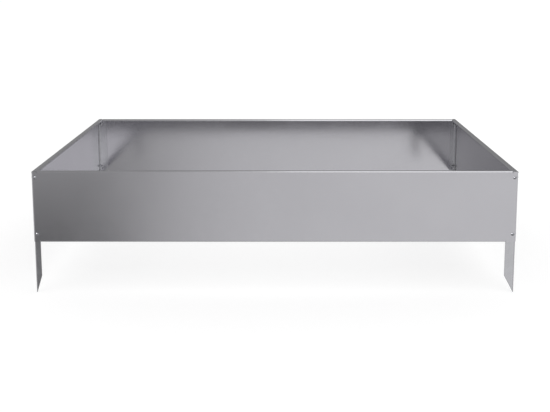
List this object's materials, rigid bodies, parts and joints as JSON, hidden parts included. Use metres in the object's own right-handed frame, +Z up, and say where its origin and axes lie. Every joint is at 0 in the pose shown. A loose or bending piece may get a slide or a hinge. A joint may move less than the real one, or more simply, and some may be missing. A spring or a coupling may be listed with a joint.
{
  "type": "raised garden bed",
  "caption": "Low rectangular open-bottomed garden bed of folded steel walls with inward rims, screwed to pointed angle stakes at the corners that push into the soil.",
  "frame": {"origin": "under the middle of the bed, on the level of the stakes' tips; the soil's surface is at z = 0.13 m", "axes": "+Z up; X along the long walls, with +X to the right as seen from the front; -Y is the front and +Y the back"},
  "size_m": [1.2032, 0.8032, 0.31],
  "materials": {
    "galvanised_sheet": "smooth bright galvanised sheet, satin",
    "galvanised_angle": "galvanised angle, satin",
    "screw_zinc": "bright zinc plated",
    "nut_zinc": "bright zinc plated"
  },
  "bodies": {
    "root": {"front_wall": "galvanised_sheet", "right_wall": "galvanised_sheet", "back_wall": "galvanised_sheet", "left_wall": "galvanised_sheet", "front_left_stake": "galvanised_angle", "front_right_stake": "galvanised_angle", "back_right_stake": "galvanised_angle", "back_left_stake": "galvanised_angle", "front_wall_left_upper_screw": "screw_zinc", "front_wall_left_upper_nut": "nut_zinc", "front_wall_left_lower_screw": "screw_zinc", "front_wall_left_lower_nut": "nut_zinc", "front_wall_right_upper_screw": "screw_zinc", "front_wall_right_upper_nut": "nut_zinc", "front_wall_right_lower_screw": "screw_zinc", "front_wall_right_lower_nut": "nut_zinc", "right_wall_left_upper_screw": "screw_zinc", "right_wall_left_upper_nut": "nut_zinc", "right_wall_left_lower_screw": "screw_zinc", "right_wall_left_lower_nut": "nut_zinc", "right_wall_right_upper_screw": "screw_zinc", "right_wall_right_upper_nut": "nut_zinc", "right_wall_right_lower_screw": "screw_zinc", "right_wall_right_lower_nut": "nut_zinc", "back_wall_left_upper_screw": "screw_zinc", "back_wall_left_upper_nut": "nut_zinc", "back_wall_left_lower_screw": "screw_zinc", "back_wall_left_lower_nut": "nut_zinc", "back_wall_right_upper_screw": "screw_zinc", "back_wall_right_upper_nut": "nut_zinc", "back_wall_right_lower_screw": "screw_zinc", "back_wall_right_lower_nut": "nut_zinc", "left_wall_left_upper_screw": "screw_zinc", "left_wall_left_upper_nut": "nut_zinc", "left_wall_left_lower_screw": "screw_zinc", "left_wall_left_lower_nut": "nut_zinc", "left_wall_right_upper_screw": "screw_zinc", "left_wall_right_upper_nut": "nut_zinc", "left_wall_right_lower_screw": "screw_zinc", "left_wall_right_lower_nut": "nut_zinc"}
  },
  "joints": []
}
